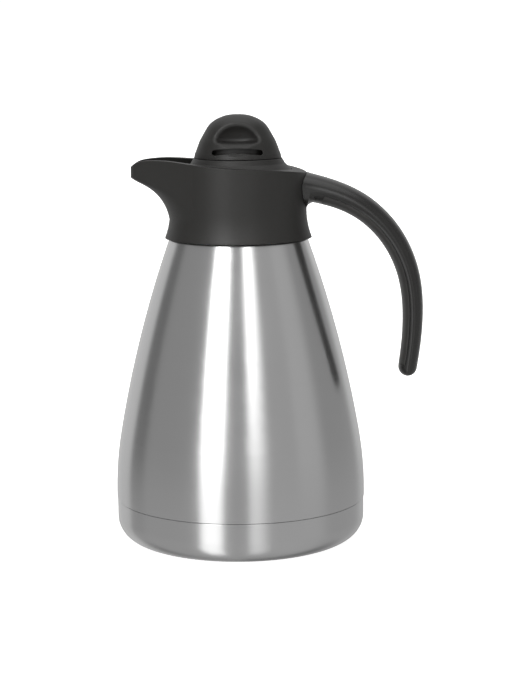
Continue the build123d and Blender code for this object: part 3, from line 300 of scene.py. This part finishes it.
def studio_light():
    """The room's light by direction: an even grey room with tall soft panels, a lit ceiling and a
    painted shadow low down behind the object.
    """
    world = bpy.data.worlds.new("studio")
    bpy.context.scene.world = world
    t = Tree(world)
    direction = t.add("ShaderNodeTexCoord", {}).outputs["Generated"]
    axes = t.add("ShaderNodeSeparateXYZ", {0: direction}).outputs
    steep = t.calc("MAXIMUM", t.calc("SUBTRACT", t.calc("MULTIPLY", axes[2], -1.0), STEEP_START))
    front = t.calc("SUBTRACT", t.calc("MULTIPLY", steep, STEEP_PULL), axes[1])
    turn = t.calc("DEGREES", t.calc("ARCTAN2", axes[0], front))
    rise = t.calc("DEGREES", t.calc("ARCSINE", axes[2]))
    lamp_height = t.calc("POWER", t.spread(rise, *SOFTBOX_RISE), 2.0)
    wall_height = t.spread(rise, *WALL_RISE)
    tall = t.calc("MULTIPLY", t.spread(rise, *PANEL_FOOT), t.spread(rise, *PANEL_HEAD, 1.0, 0.0))
    level = t.spread(wall_height, 0.0, 1.0, ROOM_LEVEL_LOW, ROOM_LEVEL_HIGH, smooth=False)
    rows = [(lamp_height, row) for row in SOFTBOXES.values()]
    rows += [(wall_height, row) for row in WALLS.values()]
    for height, (start, stop, start_soft, stop_soft, top, bottom) in rows:
        inside = t.spread(turn, start - start_soft, start + start_soft)
        outside = t.spread(turn, stop - stop_soft, stop + stop_soft, 1.0, 0.0)
        strength = t.spread(height, 0.0, 1.0, bottom, top, smooth=False)
        strength = t.calc("MULTIPLY", strength, tall)
        level = t.calc("ADD", level, t.calc("MULTIPLY", strength, t.calc("MULTIPLY", inside, outside)))
    # painted shadow: the world is darker low down behind the object, where the steel's base reflects the
    # floor, standing in for the object's contact shadow
    painted_shadow = t.calc("MULTIPLY", t.spread(axes[1], *CONTACT_SHADOW_DEPTH), t.spread(rise, *CONTACT_SHADOW_RISE, 1.0, 0.0))
    level = t.calc("ADD", level, t.calc("MULTIPLY", painted_shadow, CONTACT_SHADOW_LEVEL))
    roof = t.spread(rise, *TOP_PANEL_RISE)
    level = t.calc("ADD", level, t.calc("MULTIPLY", roof, TOP_PANEL_LEVEL))
    light = t.add("ShaderNodeBackground", {"Color": WHITE, "Strength": level})
    t.add("ShaderNodeOutputWorld", {"Surface": light.outputs[0]})


def stage_object(name, mesh_maker, look):
    shape = bmesh.new()
    mesh_maker(shape)
    mesh = bpy.data.meshes.new(name)
    shape.to_mesh(mesh)
    shape.free()
    mesh.materials.append(look)
    thing = bpy.data.objects.new(name, mesh)
    bpy.context.scene.collection.objects.link(thing)
    return thing


def pale_floor():
    look = bpy.data.materials.new("pale_floor")
    t = Tree(look)
    drift = t.noise(t.place(), 3.0, 2.0)
    base = t.tint(drift, FLOOR_COLOUR, FLOOR_DRIFT)
    matt = t.add("ShaderNodeBsdfDiffuse", {"Color": base})
    glow = t.add("ShaderNodeEmission", {"Color": WHITE, "Strength": FLOOR_GLOW})
    both = t.add("ShaderNodeAddShader", {0: matt.outputs[0], 1: glow.outputs[0]})
    t.add("ShaderNodeOutputMaterial", {"Surface": both.outputs[0]})
    disc = {"cap_ends": True, "segments": FLOOR_SEGMENTS, "radius": FLOOR_RADIUS}
    floor = stage_object("floor", lambda shape: bmesh.ops.create_circle(shape, **disc), look)
    floor.visible_glossy = False


def white_backdrop():
    look = bpy.data.materials.new("white_backdrop")
    t = Tree(look)
    glow = t.add("ShaderNodeEmission", {"Color": WHITE, "Strength": BACKDROP_GLOW})
    t.add("ShaderNodeOutputMaterial", {"Surface": glow.outputs[0]})
    dome = {
        "u_segments": BACKDROP_SEGMENTS,
        "v_segments": BACKDROP_SEGMENTS // 2,
        "radius": FLOOR_RADIUS,
    }
    backdrop = stage_object("backdrop", lambda shape: bmesh.ops.create_uvsphere(shape, **dome), look)
    backdrop.visible_diffuse = False
    backdrop.visible_glossy = False
    backdrop.visible_transmission = False
    backdrop.visible_shadow = False


def camera():
    lens = bpy.data.cameras.new("camera")
    lens.lens = CAMERA_LENS
    lens.sensor_width = CAMERA_SENSOR
    lens.clip_start = CAMERA_NEAR
    lens.clip_end = 3 * FLOOR_RADIUS
    eye = bpy.data.objects.new("camera", lens)
    turned = Matrix.Rotation(CAMERA_TILT, 4, "X") @ Matrix.Rotation(CAMERA_ROLL, 4, "Z")
    eye.matrix_world = Matrix.Translation(CAMERA_PLACE) @ turned
    bpy.context.scene.collection.objects.link(eye)
    bpy.context.scene.camera = eye


studio_light()
pale_floor()
white_backdrop()
camera()
bpy.context.scene.view_settings.view_transform = "Standard"
